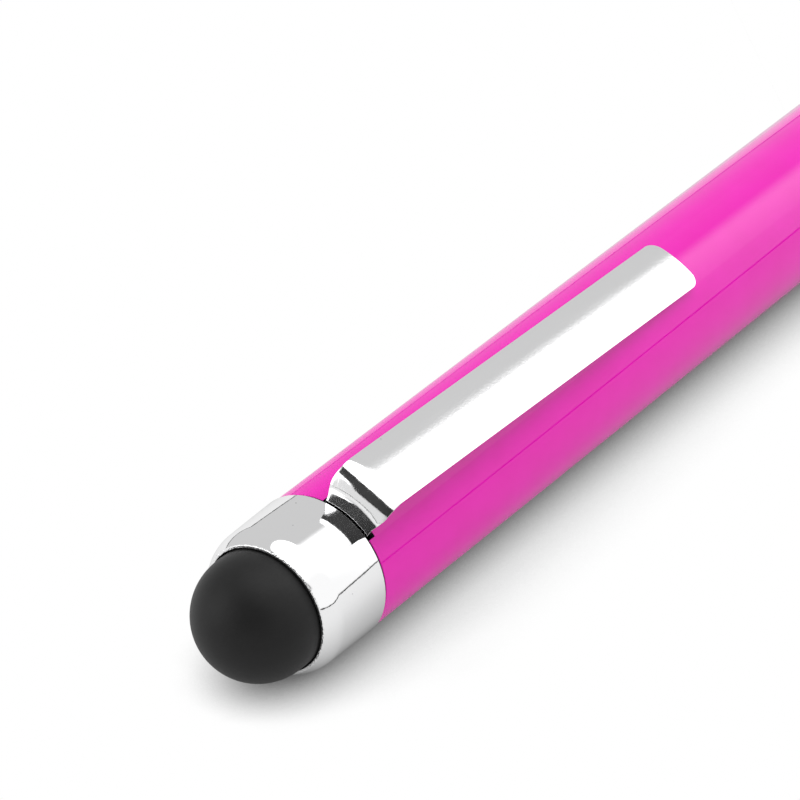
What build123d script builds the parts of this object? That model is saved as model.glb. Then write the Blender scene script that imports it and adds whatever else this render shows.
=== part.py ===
from build123d import *
from math import cos, dist, pi, radians, sin, sqrt
import os

# A stylus ballpoint pen that is twisted open: a rubber stylus dome in a chrome collar at one end, a spring
# clip, two lacquered barrels with a ring between them, and a refill that a cam pushes out of the nose.
# Sizes are millimetres. Each piece is drawn along the pen's own Z axis, which runs from the stylus end to
# the writing end. Zero is the joint of collar and barrel, and X points at the clip. The last section lays
# the pen on a table with its clip leaning to one side.

# Clearances
press_gap = 0.02
running_gap = 0.08
end_play = 0.10
cut_overrun = 1.0

# How the pen lies
clip_lean_angle = 25.0

# Barrels
barrel_diameter = 9.5
barrel_wall = 0.55
upper_barrel_length = 62.0
lower_barrel_length = 49.0

# Centre ring
ring_diameter = 9.1
ring_length = 3.2

# End collar
collar_length = 5.47
collar_diameter = 9.7
collar_shoulder_diameter = 9.54
collar_shoulder_length = 4.0
collar_rim_diameter = 8.58
collar_lean_share = 0.06
collar_steps = 3
collar_rim_wall = 0.19

# Rubber stylus tip
tip_stand = 4.65
tip_gap = 0.08
tip_wall = 0.9
tip_skirt_length = 1.9
tip_lip_height = 1.5
tip_roof_height = 1.2
tip_dome_steps = 6

# Plug that joins the collar, the tip, the clip and the barrel
plug_depth = 9.0
plug_wall = 1.0
plug_web = 2.6
post_diameter = 3.2
post_head_diameter = 4.8
post_head_height = 1.2
post_head_chamfer = 0.4

# Pocket clip
clip_thickness = 0.4
clip_width = 4.1
clip_root_width = 3.3
clip_crown = 0.27
clip_reach = 35.8
clip_rise = 2.75
clip_tip_gap = 0.05
clip_setback = 0.1
clip_tail_depth = 2.1
clip_bend_radius = 1.65
clip_corner_radius = 0.8
clip_neck_height = 0.3
clip_neck_length = 1.5
clip_slot_depth = 0.78
clip_slot_gap = 0.1

# Twist mechanism
refill_travel = 5.5
twist_angle = 180.0
pin_diameter = 1.4
pin_slot_gap = 0.06
pin_end_gap = 0.25
cam_bore_diameter = 6.6
cam_shoulder = 5.5
cam_setback = 1.5
guide_bore_diameter = 5.1
guide_spigot_diameter = 6.96
guide_spigot_length = 8.7
guide_tail = 0.9
snap_ring_diameter = 7.9
snap_ring_thickness = 0.7
snap_ring_groove_depth = 0.27
snap_ring_opening = 3.0
slider_pin_margin = 2.6
slider_web = 5.0
slider_socket_depth = 3.0

# Thread bush in the lower barrel
bush_length = 10.0

# Nose
nose_length = 16.0
nose_tip_diameter = 3.4
nose_tip_edge = 0.2
nose_lean_share = 0.2
nose_steps = 3
nose_spigot_length = 8.0
nose_guide_length = 9.0
nose_guide_gap = 0.1
spring_room_diameter = 4.2

# Refill
refill_length = 84.0
refill_diameter = 3.2
refill_wall = 0.45
refill_plug_length = 2.5
refill_vent_diameter = 0.6
ink_air_length = 4.0
tip_recess = 2.4
point_reach = 22.3
holder_spigot_length = 4.0
holder_flange_diameter = 3.9
holder_flange_thickness = 0.6
holder_body_diameter = 2.7
holder_body_length = 7.8
point_diameter = 2.3
point_tail_diameter = 1.6
point_tail_length = 5.0
point_cone_length = 2.3
ink_bore_diameter = 0.8
ball_diameter = 1.0
ball_gap = 0.02
ball_lip_wall = 0.06
ball_lip_past_middle = 0.15

# Return spring
spring_wire = 0.35
spring_wire_sides = 5
spring_diameter = 3.5
spring_turns = 6
spring_flat_halves = 1

# The middle of a quarter circle, as a share of its radius
arc_middle_share = sqrt(2) / 2

# Places along the pen, worked out from the sizes above
barrel_radius = barrel_diameter / 2
barrel_bore_radius = barrel_radius - barrel_wall
ring_start = upper_barrel_length + end_play
ring_end = ring_start + ring_length
lower_end = ring_end + lower_barrel_length
nose_end = lower_end + nose_length
tip_radius = collar_rim_diameter / 2 - collar_rim_wall - tip_gap
tip_apex = -collar_length - tip_stand
tip_middle = tip_apex + tip_radius
tip_base = tip_skirt_length - collar_length
tip_lip_top = tip_base - tip_lip_height
ball_end = nose_end - tip_recess
refill_back = ball_end - refill_length
tube_end = ball_end - point_reach
cam_end = upper_barrel_length - cam_setback
pin_rest = min(refill_back - slider_web + slider_pin_margin, cam_end - cam_shoulder - refill_travel)
slider_back = pin_rest - slider_pin_margin
slider_front = refill_back + slider_socket_depth
cam_start = pin_rest - cam_shoulder
guide_radius = cam_bore_diameter / 2 - running_gap
snap_ring_end = cam_start - end_play
snap_ring_start = snap_ring_end - snap_ring_thickness
groove_radius = guide_radius - snap_ring_groove_depth
guide_start = snap_ring_start - guide_tail
guide_end = ring_end + guide_spigot_length
flange_face = tube_end + holder_flange_thickness
holder_end = flange_face + holder_body_length
spring_seat = nose_end - nose_guide_length
pin_slot_radius = pin_diameter / 2 + pin_slot_gap


def turned(*outline):
    """Turn a closed outline, drawn as radius and length, about the pen's axis."""
    return revolve(Plane.XZ * make_face(outline), Axis.Z)


def stepped(*corners):
    """Turn an outline with straight sides only."""
    return turned(Polyline(*corners, close=True))


def tube(outer_radius, inner_radius, start, end):
    """A plain tube along the pen."""
    return stepped((inner_radius, start), (outer_radius, start), (outer_radius, end), (inner_radius, end))


def rod(radius, start, end):
    """A plain round bar along the pen."""
    return stepped((0, start), (radius, start), (radius, end), (0, end))


def closing_in(start, end, lean_share, steps):
    """Points of an outline that leaves start with a slight lean and closes in on end ever faster."""
    points = []
    for i in range(steps + 1):
        share = i / steps
        fall = lean_share * share + (1 - lean_share) * share**2
        radius = start[0] + (end[0] - start[0]) * fall
        place = start[1] + (end[1] - start[1]) * share
        points.append((radius, place))
    return points


def stylus_tip():
    """A hollow rubber dome with an inner lip that grips the neck of the plug's post."""
    cavity_radius = tip_radius - tip_wall
    hole_radius = post_diameter / 2 + press_gap
    dome = []
    for i in range(tip_dome_steps + 1):
        angle = i / tip_dome_steps * pi / 2
        dome.append((tip_radius * sin(angle), tip_middle - tip_radius * cos(angle)))
    return stepped(
        *dome,
        (tip_radius, tip_base),
        (hole_radius, tip_base),
        (hole_radius, tip_lip_top),
        (cavity_radius, tip_lip_top),
        (cavity_radius, tip_middle - tip_roof_height),
        (0, tip_middle - tip_roof_height),
    )


def end_collar():
    """A chrome sleeve, nearly straight, that rounds in to a thin rim about the stylus tip."""
    bore_radius = tip_radius + tip_gap
    shoulder = (collar_shoulder_diameter / 2, -collar_shoulder_length)
    rim = (collar_rim_diameter / 2, -collar_length)
    return stepped(
        (bore_radius, -collar_length),
        (bore_radius, 0),
        (collar_diameter / 2, 0),
        *closing_in(shoulder, rim, collar_lean_share, collar_steps),
    )


def clip_slot(radius_from, side_gap):
    """The notch that the clip's tail stands in, cut through everything outside a radius."""
    slot_width = clip_root_width + 2 * side_gap
    slot_height = barrel_radius + cut_overrun - radius_from
    box = Box(
        slot_height, slot_width, clip_slot_depth + cut_overrun, align=(Align.MIN, Align.CENTER, Align.MAX)
    )
    return Pos(radius_from, 0, clip_slot_depth) * box


def end_plug():
    """A moulded plug: a mushroom post for the tip, a spigot for the collar and a cup in the barrel."""
    collar_fit = tip_radius + tip_gap - press_gap
    barrel_fit = barrel_bore_radius - press_gap
    head_radius = post_head_diameter / 2
    head_base = tip_lip_top - press_gap
    head_top = head_base - post_head_height
    seat = tip_base + press_gap
    body = stepped(
        (0, head_top),
        (head_radius - post_head_chamfer, head_top),
        (head_radius, head_top + post_head_chamfer),
        (head_radius, head_base),
        (post_diameter / 2, head_base),
        (post_diameter / 2, seat),
        (collar_fit, seat),
        (collar_fit, 0),
        (barrel_fit, 0),
        (barrel_fit, plug_depth),
        (barrel_fit - plug_wall, plug_depth),
        (barrel_fit - plug_wall, plug_web),
        (0, plug_web),
    )
    tail_foot = barrel_radius - clip_tail_depth - clip_slot_gap
    return body - clip_slot(tail_foot, clip_slot_gap)


def upper_barrel():
    """A straight lacquered tube with the clip's notch in its stylus end."""
    return tube(barrel_radius, barrel_bore_radius, 0, upper_barrel_length) - clip_slot(0, clip_slot_gap)


def clip_strip():
    """The clip's sheet: an arched section carried along the arm, round the bend and down the tail."""
    tail_foot = barrel_radius - clip_tail_depth
    tip_height = barrel_radius + clip_tip_gap + clip_thickness
    path = FilletPolyline(
        (tip_height, 0, clip_reach),
        (barrel_radius + clip_rise, 0, clip_setback),
        (tail_foot, 0, clip_setback),
        radius=clip_bend_radius,
    )
    side = clip_width / 2
    top = ThreePointArc((-side, -clip_crown), (0, 0), (side, -clip_crown))
    under = ThreePointArc(
        (side, -clip_crown - clip_thickness), (0, -clip_thickness), (-side, -clip_crown - clip_thickness)
    )
    edges = [Line(top @ 1, under @ 0), Line(under @ 1, top @ 0)]
    section = Plane(path @ 0, x_dir=(0, 1, 0), z_dir=path % 0) * make_face([top, under, *edges])
    return sweep(section, path=path)


def clip_tip_corner(side):
    """What is cut away to round one corner of the clip's free end."""
    edge = clip_width / 2
    inner = edge - clip_corner_radius
    low = clip_reach - clip_corner_radius
    reach = clip_corner_radius * arc_middle_share
    arc = ThreePointArc((edge, low), (inner + reach, low + reach), (inner, clip_reach))
    rest = Polyline(
        (inner, clip_reach),
        (inner, clip_reach + cut_overrun),
        (edge + cut_overrun, clip_reach + cut_overrun),
        (edge + cut_overrun, low),
        (edge, low),
    )
    corner = extrude(Plane.YZ * make_face([arc, rest]), barrel_diameter)
    return corner if side > 0 else mirror(corner, Plane.XZ)


def clip_neck_side(side):
    """What is cut away beside the tail, so that the clip narrows into its notch."""
    edge = clip_width / 2
    neck = clip_root_width / 2
    neck_top = barrel_radius + clip_neck_height
    outline = Polyline(
        (0, neck),
        (neck_top, neck),
        (neck_top + clip_neck_length, edge),
        (neck_top + clip_neck_length, edge + cut_overrun),
        (0, edge + cut_overrun),
        close=True,
    )
    block = extrude(make_face(outline), clip_bend_radius)
    return block if side > 0 else mirror(block, Plane.XZ)


def pocket_clip():
    """A spring clip bent from one strip, with rounded corners and a narrower tail."""
    clip = clip_strip()
    for side in (-1, 1):
        clip -= clip_tip_corner(side)
        clip -= clip_neck_side(side)
    return clip


def cam_slot(start_angle):
    """One helical slot with round ends. The drive pin climbs it as the pen is twisted."""
    wall_middle = (cam_bore_diameter / 2 + barrel_bore_radius) / 2
    wall_reach = 2 * (barrel_bore_radius + cut_overrun - wall_middle)
    lead = refill_travel * 360 / twist_angle
    path = Helix(lead, refill_travel, wall_middle)
    section = Plane(path @ 0, x_dir=(1, 0, 0), z_dir=path % 0) * Rectangle(wall_reach, 2 * pin_slot_radius)
    slot = sweep(section, path=path, is_frenet=True)
    for end in (path @ 0, path @ 1):
        outward = Vector(end.X, end.Y, 0).normalized()
        round_end = Cylinder(pin_slot_radius, wall_reach)
        slot += Plane(end, z_dir=outward) * round_end
    return Pos(0, 0, pin_rest) * Rot(0, 0, start_angle) * slot


def cam_sleeve():
    """The sleeve fixed in the upper barrel, with two helical slots."""
    sleeve = tube(barrel_bore_radius - press_gap, cam_bore_diameter / 2, cam_start, cam_end)
    for start_angle in (0, 180):
        sleeve -= cam_slot(start_angle)
    return sleeve


def guide_slot():
    """A straight slot across both walls of the guide, for the pin's whole travel."""
    across = 2 * (guide_radius + cut_overrun)
    slot = Box(across, 2 * pin_slot_radius, refill_travel, align=(Align.CENTER, Align.CENTER, Align.MIN))
    for place in (0, refill_travel):
        slot += Pos(0, 0, place) * Rot(0, 90, 0) * Cylinder(pin_slot_radius, across)
    return Pos(0, 0, pin_rest) * slot


def guide_tube():
    """The tube that turns in the cam: snap ring groove, pin slots, thrust flange and spigot."""
    bore = guide_bore_diameter / 2
    flange_radius = barrel_bore_radius - end_play
    flange_start = cam_end + end_play
    spigot = guide_spigot_diameter / 2
    body = stepped(
        (bore, guide_start),
        (guide_radius, guide_start),
        (guide_radius, snap_ring_start),
        (groove_radius, snap_ring_start),
        (groove_radius, snap_ring_end),
        (guide_radius, snap_ring_end),
        (guide_radius, flange_start),
        (flange_radius, flange_start),
        (flange_radius, ring_start),
        (spigot, ring_start),
        (spigot, guide_end),
        (bore, guide_end),
    )
    return body - guide_slot()


def snap_ring():
    """An open ring in the guide's groove that holds the cam on the guide."""
    bore = groove_radius + press_gap
    ring = tube(snap_ring_diameter / 2, bore, snap_ring_start + press_gap, snap_ring_end - press_gap)
    mouth = Box(
        snap_ring_diameter,
        snap_ring_opening,
        snap_ring_thickness,
        align=(Align.MIN, Align.CENTER, Align.MIN),
    )
    return ring - Pos(0, 0, snap_ring_start) * mouth


def pin_hole(radius):
    """A bar across the pen at the drive pin's place."""
    return Pos(0, 0, pin_rest) * Rot(0, 90, 0) * Cylinder(radius, barrel_diameter)


def slider():
    """The plunger inside the guide, with the refill's socket in front and the pin's hole across it."""
    outer = guide_bore_diameter / 2 - running_gap
    socket = refill_diameter / 2 + press_gap
    body = stepped(
        (0, slider_back),
        (outer, slider_back),
        (outer, slider_front),
        (socket, slider_front),
        (socket, refill_back),
        (0, refill_back),
    )
    return body - pin_hole(pin_diameter / 2 + press_gap)


def drive_pin():
    """The cross pin through slider, guide and cam."""
    length = 2 * (barrel_bore_radius - pin_end_gap)
    return Pos(0, 0, pin_rest) * Rot(0, 90, 0) * Cylinder(pin_diameter / 2, length)


def centre_ring():
    """The chrome ring between the barrels, a little below their surface."""
    return tube(ring_diameter / 2, guide_spigot_diameter / 2 + press_gap, ring_start, ring_end)


def thread_bush():
    """The brass bush in the lower barrel that the guide's spigot screws into."""
    bore = guide_spigot_diameter / 2 + press_gap
    return tube(barrel_bore_radius - press_gap, bore, ring_end, ring_end + bush_length)


def lower_barrel():
    """A straight lacquered tube, screwed on the guide by its bush."""
    return tube(barrel_radius, barrel_bore_radius, ring_end, lower_end)


def nose_cone():
    """The chrome nose: a bullet that guides the point, seats the spring and plugs the barrel."""
    spigot = barrel_bore_radius - press_gap
    room = spring_room_diameter / 2
    guide = point_diameter / 2 + nose_guide_gap
    spigot_start = lower_end - nose_spigot_length
    tip_edge_radius = nose_tip_diameter / 2
    edge_start = nose_end - nose_tip_edge
    return stepped(
        *closing_in((barrel_radius, lower_end), (tip_edge_radius, edge_start), nose_lean_share, nose_steps),
        (tip_edge_radius - nose_tip_edge, nose_end),
        (guide, nose_end),
        (guide, spring_seat),
        (room, spring_seat),
        (room, spigot_start),
        (spigot, spigot_start),
        (spigot, lower_end),
    )


def refill_tube():
    """The refill's ink tube."""
    radius = refill_diameter / 2
    return tube(radius, radius - refill_wall, refill_back, tube_end)


def refill_plug():
    """The vented plug in the back of the ink tube."""
    radius = refill_diameter / 2 - refill_wall - press_gap
    return tube(radius, refill_vent_diameter / 2, refill_back, refill_back + refill_plug_length)


def ink_column():
    """The ink, with air behind it and the point's holder in front."""
    radius = refill_diameter / 2 - refill_wall - press_gap
    start = refill_back + refill_plug_length + ink_air_length
    return rod(radius, start, tube_end - holder_spigot_length)


def point_holder():
    """The flanged piece that joins the point to the ink tube and carries the spring."""
    spigot = refill_diameter / 2 - refill_wall - press_gap
    flange = holder_flange_diameter / 2
    body = holder_body_diameter / 2
    socket = point_tail_diameter / 2 + press_gap
    socket_floor = holder_end - point_tail_length - press_gap
    bore = ink_bore_diameter / 2
    spigot_start = tube_end - holder_spigot_length
    return stepped(
        (bore, spigot_start),
        (spigot, spigot_start),
        (spigot, tube_end),
        (flange, tube_end),
        (flange, flange_face),
        (body, flange_face),
        (body, holder_end),
        (socket, holder_end),
        (socket, socket_floor),
        (bore, socket_floor),
    )


def ball_middle():
    """Where the writing ball's centre is."""
    return ball_end - ball_diameter / 2


def writing_point():
    """The metal point: a tail, a round shank, a cone, and a lip closed over the ball."""
    tail = point_tail_diameter / 2
    shank = point_diameter / 2
    bore = ink_bore_diameter / 2
    seat = ball_diameter / 2 + ball_gap
    lip_end = ball_middle() + ball_lip_past_middle
    lip_radius = sqrt(seat**2 - ball_lip_past_middle**2)
    seat_floor = ball_middle() - sqrt(seat**2 - bore**2)
    outside = Polyline(
        (bore, seat_floor),
        (bore, holder_end - point_tail_length),
        (tail, holder_end - point_tail_length),
        (tail, holder_end),
        (shank, holder_end),
        (shank, lip_end - point_cone_length),
        (lip_radius + ball_lip_wall, lip_end),
        (lip_radius, lip_end),
    )
    socket = ThreePointArc((lip_radius, lip_end), (seat, ball_middle()), (bore, seat_floor))
    return turned(outside, socket)


def writing_ball():
    """The ball that rolls in the point."""
    return Pos(0, 0, ball_middle()) * Sphere(ball_diameter / 2)


def spring_knots():
    """Points and directions along the spring's wire, half a turn apart, flat at both ends."""
    radius = spring_diameter / 2
    low = flange_face + spring_wire / 2 + press_gap
    high = spring_seat - spring_wire / 2 - press_gap
    climbing = 2 * spring_turns
    step = (high - low) / climbing
    knots = []
    for i in range(climbing + 2 * spring_flat_halves + 1):
        angle = i * pi
        risen = min(max(i - spring_flat_halves, 0), climbing)
        place = Vector(radius * cos(angle), radius * sin(angle), low + step * risen)
        slope = step if 0 < risen < climbing else 0
        along = Vector(-sin(angle) * radius * pi, cos(angle) * radius * pi, slope).normalized()
        knots.append((place, along))
    return knots


def biarc(start, start_way, end, end_way):
    """Two arcs that leave start and reach end in the given directions."""
    chord = end - start
    ways = start_way + end_way
    turn = 1 - start_way.dot(end_way)
    along = chord.dot(ways)
    reach = (sqrt(along**2 + 2 * turn * chord.dot(chord)) - along) / (2 * turn)
    middle = (start + end + (start_way - end_way) * reach) / 2
    first = TangentArc(start, middle, tangent=start_way)
    return [first, TangentArc(middle, end, tangent=first % 1)]


def return_spring():
    """The spring between the holder's flange and the nose's seat, one wire from end to end."""
    knots = spring_knots()
    arcs = []
    for (start, start_way), (end, end_way) in zip(knots, knots[1:]):
        arcs += biarc(start, start_way, end, end_way)
    path = Wire(arcs)
    print_spring_gap(arcs)
    section = Plane(path @ 0, z_dir=path % 0) * RegularPolygon(spring_wire / 2, spring_wire_sides)
    return sweep(section, path=path)


def print_spring_gap(arcs):
    """Measure the least gap between turns of the wire, on the ends of its arcs."""
    places = [tuple(arc @ 0) for arc in arcs]
    half_turn = 2
    gaps = []
    for i, place in enumerate(places):
        for other in places[i + half_turn:]:
            gaps.append(dist(place, other) - spring_wire)
    print(f"least gap of the spring to itself {min(gaps):.2f} mm")


def pen_place():
    """Lay the pen along X on a table, its middle over the origin and its clip leaning."""
    lean = radians(clip_lean_angle)
    middle = (tip_apex + nose_end) / 2
    height = max(collar_diameter, barrel_diameter) / 2
    return Location(Plane(origin=(-middle, 0, height), x_dir=(0, -sin(lean), cos(lean)), z_dir=(1, 0, 0)))


PIECES = [
    stylus_tip,
    end_collar,
    end_plug,
    pocket_clip,
    upper_barrel,
    cam_sleeve,
    guide_tube,
    snap_ring,
    slider,
    drive_pin,
    centre_ring,
    thread_bush,
    lower_barrel,
    nose_cone,
    return_spring,
    refill_tube,
    refill_plug,
    ink_column,
    point_holder,
    writing_point,
    writing_ball,
]

os.makedirs("parts", exist_ok=True)
for piece in PIECES:
    export_step(pen_place() * piece(), f"parts/{piece.__name__}.step")
print(f"overall length {nose_end - tip_apex:.2f} mm")
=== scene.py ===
# %% [markdown]
# # A stylus pen, modelled and lit in Blender
# The pen lies on a pale table with its rubber stylus end towards us. The CAD model gives every piece its
# place, so we load it first and keep it as a fixed frame. Then we remake the pieces that show with fine
# curves and soft edges, and give every surface a finish.

# %% Load the frame
from math import acos, asin, atan2, cos, degrees, hypot, pi, radians, sin, tan

import bpy
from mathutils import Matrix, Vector


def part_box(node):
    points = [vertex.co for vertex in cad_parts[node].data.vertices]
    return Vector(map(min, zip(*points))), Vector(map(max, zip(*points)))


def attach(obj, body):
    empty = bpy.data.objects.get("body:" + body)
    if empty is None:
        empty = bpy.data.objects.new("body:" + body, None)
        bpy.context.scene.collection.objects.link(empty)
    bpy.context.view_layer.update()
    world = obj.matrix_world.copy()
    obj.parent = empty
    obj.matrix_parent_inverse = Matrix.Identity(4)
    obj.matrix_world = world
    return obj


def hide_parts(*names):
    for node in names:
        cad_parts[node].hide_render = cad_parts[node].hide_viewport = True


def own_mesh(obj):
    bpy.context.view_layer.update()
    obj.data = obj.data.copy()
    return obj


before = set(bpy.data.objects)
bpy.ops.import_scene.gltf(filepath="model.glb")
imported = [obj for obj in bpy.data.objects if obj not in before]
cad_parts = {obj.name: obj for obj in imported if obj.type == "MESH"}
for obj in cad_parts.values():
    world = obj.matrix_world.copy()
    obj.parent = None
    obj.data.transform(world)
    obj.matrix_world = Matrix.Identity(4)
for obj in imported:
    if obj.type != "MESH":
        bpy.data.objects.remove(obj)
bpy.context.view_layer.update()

MM = 0.001
print("pieces in the frame:", len(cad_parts))

# %% [markdown]
# All places come from the boxes of the CAD pieces. The pen's axis runs along X. We write lengths along it
# from the joint of collar and barrel, and radii from the axis, both in millimetres, which is how a turner
# would read a drawing.

# %% Find the pen's axis
barrel_low, barrel_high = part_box("upper_barrel")
AXIS_HEIGHT = (barrel_low[2] + barrel_high[2]) / 2
JOINT = barrel_low[0]
BARREL_RADIUS = (barrel_high[2] - barrel_low[2]) / 2 / MM
CLIP_LEAN = radians(25)


def along(x):
    """A place in metres as millimetres from the joint."""
    return (x - JOINT) / MM


def ends(node):
    """Where a CAD piece starts and ends, in millimetres from the joint."""
    low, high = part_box(node)
    return along(low[0]), along(high[0])


def outer_radius(node):
    """The largest radius of a round CAD piece, in millimetres."""
    low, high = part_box(node)
    return (high[1] - low[1]) / 2 / MM


print("axis height", round(AXIS_HEIGHT / MM, 2), "mm, barrel radius", round(BARREL_RADIUS, 2), "mm")

# %% [markdown]
# ## The camera
# The picture is a close view from beyond the stylus end, from above and to one side, taken with a long lens
# that keeps the barrel's edges almost parallel. A camera looks along its own -Z axis, so we turn that axis
# to the viewing direction and leave the horizon level.

# %% Place the camera
CAMERA_PLACE = Vector((-266.84, -151.55, 177.82)) * MM
VIEW_DIRECTION = Vector((0.69200, 0.48757, -0.53237))
LENS = 234
SENSOR_WIDTH = 36
NEAREST = 0.01
bpy.ops.object.select_all(action="DESELECT")
bpy.ops.object.camera_add(location=CAMERA_PLACE)
camera = bpy.context.object
camera.rotation_euler = VIEW_DIRECTION.to_track_quat("-Z", "Y").to_euler()
camera.data.lens = LENS
camera.data.sensor_width = SENSOR_WIDTH
camera.data.clip_start = NEAREST
bpy.context.scene.camera = camera
bpy.context.scene.view_settings.view_transform = "Standard"
print("camera lens", camera.data.lens, "mm")

# %% [markdown]
# ## The studio
# Chrome has no colour of its own: it shows what stands round it. Here that is a white light tent, greyer on
# the left, with a thin dark gap where it meets the table and a dark slit on the side where the camera looks
# in. Such a tent could be built from sheets and lamps. We write it into the world's nodes instead, as a
# brightness for each direction that a ray can take, because there every edge of a reflection is a number
# that we can move. What the camera sees directly is plain white.


# %% Small helpers for node trees
def add_node(tree, kind, **inputs):
    """Add a node and set its sockets by name or number. A socket is given a value or another socket."""
    node = tree.nodes.new(kind)
    for key, value in inputs.items():
        socket = node.inputs[int(key[1:])] if key[0] == "_" else node.inputs[key.replace("_", " ")]
        if isinstance(value, bpy.types.NodeSocket):
            tree.links.new(value, socket)
        else:
            socket.default_value = value
    return node


def math_node(tree, operation, first, second=0.0):
    """One step of arithmetic in a node tree."""
    node = add_node(tree, "ShaderNodeMath", _0=first, _1=second)
    node.operation = operation
    return node.outputs[0]


def soft_step(tree, value, low, high):
    """Zero below low, one above high, and a smooth rise between them."""
    node = add_node(tree, "ShaderNodeMapRange", Value=value, From_Min=low, From_Max=high)
    node.interpolation_type = "SMOOTHSTEP"
    return node.outputs["Result"]


def seen_directly(tree):
    """One for rays that show a thing to the camera, straight or in a mirror or through glass."""
    path = add_node(tree, "ShaderNodeLightPath")
    either = math_node(tree, "MAXIMUM", path.outputs["Is Camera Ray"], path.outputs["Is Glossy Ray"])
    return math_node(tree, "MAXIMUM", either, path.outputs["Is Transmission Ray"])


print("node helpers ready")

# %% [markdown]
# The tent is put together from soft steps. Each one asks how far a ray points along some direction, and
# rises from zero to one between two values, which are an edge of the tent. So the world's tree needs only
# the ray's direction, steps, and a few functions that multiply them.

# %% Start the tent's node tree
world = bpy.data.worlds.new("light_tent")
bpy.context.scene.world = world
world.use_nodes = True
tent_tree = world.node_tree
tent_tree.nodes.clear()
ray = add_node(tent_tree, "ShaderNodeTexCoord").outputs["Generated"]
ray_x, ray_y, ray_z = add_node(tent_tree, "ShaderNodeSeparateXYZ", Vector=ray).outputs


def towards(direction):
    """How far a ray points along a direction."""
    node = add_node(tent_tree, "ShaderNodeVectorMath", _0=ray, _1=tuple(direction))
    node.operation = "DOT_PRODUCT"
    return node.outputs["Value"]


def past(value, edge):
    """Zero before an edge of the tent and one past it."""
    return soft_step(tent_tree, value, *edge)


def less(value):
    """One minus a value."""
    return math_node(tent_tree, "SUBTRACT", 1.0, value)


def times(*values):
    """The product of some values."""
    product = values[0]
    for value in values[1:]:
        product = math_node(tent_tree, "MULTIPLY", product, value)
    return product


print("light tent started")

# %% [markdown]
# The grey wall is on the left, where Y is positive, but neither overhead nor beyond the stylus end. All the
# rest is a soft box that fades to plain white on the right. Low in front of the stylus end it is dimmed,
# because the clip's bend mirrors that part as a pale grey. SLIT_ALONG and SLIT_ACROSS are the directions of
# the slit, which the next step cuts, and the dimmed part lies beside the slit.

# %% Build the tent's walls
TENT_GREY = 0.62
LEFT_EDGE = (-0.15, 0.085)
STYLUS_END_EDGE = (-0.60, -0.25)
OVERHEAD = Vector((0.05, -0.02, 1)).normalized()
OVERHEAD_EDGE = (cos(radians(27)), cos(radians(23)))
SOFT_BOX = 2.1
SOFT_BOX_EDGE = (-0.75, -0.15)
SLIT_ALONG = Vector((0, -cos(CLIP_LEAN), -sin(CLIP_LEAN)))
SLIT_ACROSS = VIEW_DIRECTION.cross(SLIT_ALONG).normalized()
LOW_FRONT_SIDE = (0.24, 0.34)
LOW_FRONT_END = (-0.84, -0.76)
LOW_FRONT_LEFT = (0.36, 0.44)
LOW_FRONT_DIM = 0.64
TABLE_GAP = (0.012, 0.035)
grey_wall = times(past(ray_y, LEFT_EDGE), past(ray_x, STYLUS_END_EDGE))
grey_wall = times(grey_wall, less(past(towards(OVERHEAD), OVERHEAD_EDGE)))
soft_box = math_node(tent_tree, "ADD", times(past(ray_y, SOFT_BOX_EDGE), SOFT_BOX - 1), 1.0)
tent = math_node(tent_tree, "ADD", times(less(grey_wall), soft_box), times(grey_wall, TENT_GREY))
low_front = times(past(towards(SLIT_ACROSS), LOW_FRONT_SIDE), less(past(ray_x, LOW_FRONT_END)))
low_front = times(low_front, less(past(ray_y, LOW_FRONT_LEFT)))
tent = times(tent, less(times(low_front, LOW_FRONT_DIM)))
tent = times(tent, past(math_node(tent_tree, "ABSOLUTE", ray_z), TABLE_GAP))
print("light tent nodes with walls:", len(tent_tree.nodes))

# %% [markdown]
# The slit gives the clip's bend its black band, and the chrome about the clip's root its black patches. A
# strip of black card could stand there instead, but from other sides it would come into the picture. The
# slit runs as the clip's bend line does, on the camera's side of the pen. At one end its side is cut back
# along a slanting line, so that the patch on the collar isn't too long.

# %% Cut the slit
SLIT_EDGE = (sin(radians(19)), sin(radians(24)))
SLIT_FAR_END = (-0.74, -0.64)
SLIT_NEAR_END = (0.45, 0.55)
SLIT_FRONT = (0.0, 0.2)
SLIT_LEVEL = 0.024
TAPER_SLOPE = 1.4
TAPER_EDGE = (0.73, 0.81)
TAPER_SIDE = (0.14, 0.20)
slit = less(past(math_node(tent_tree, "ABSOLUTE", towards(SLIT_ACROSS)), SLIT_EDGE))
slit = times(slit, past(towards(SLIT_ALONG), SLIT_FAR_END), less(past(towards(SLIT_ALONG), SLIT_NEAR_END)))
slant = towards(SLIT_ACROSS - TAPER_SLOPE * SLIT_ALONG)
cut_back = times(past(slant, TAPER_EDGE), past(towards(SLIT_ACROSS), TAPER_SIDE))
slit = times(slit, less(cut_back), past(towards(-VIEW_DIRECTION), SLIT_FRONT))
tent = times(tent, math_node(tent_tree, "MAXIMUM", less(slit), SLIT_LEVEL))
is_camera = add_node(tent_tree, "ShaderNodeLightPath").outputs["Is Camera Ray"]
tent = math_node(tent_tree, "MAXIMUM", tent, is_camera)
background = add_node(tent_tree, "ShaderNodeBackground", Color=tent)
add_node(tent_tree, "ShaderNodeOutputWorld", Surface=background.outputs["Background"])
print("light tent nodes:", len(tent_tree.nodes))

# %% [markdown]
# One broad soft lamp stands high on the far left and gives the lacquer a little more light from there than
# the tent does, so that the barrels look round. A point lamp would do that too, but a broad disk gives a
# softer light, as a lamp behind cloth does. It is kept out of reflections, because the tent shows there.

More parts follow.
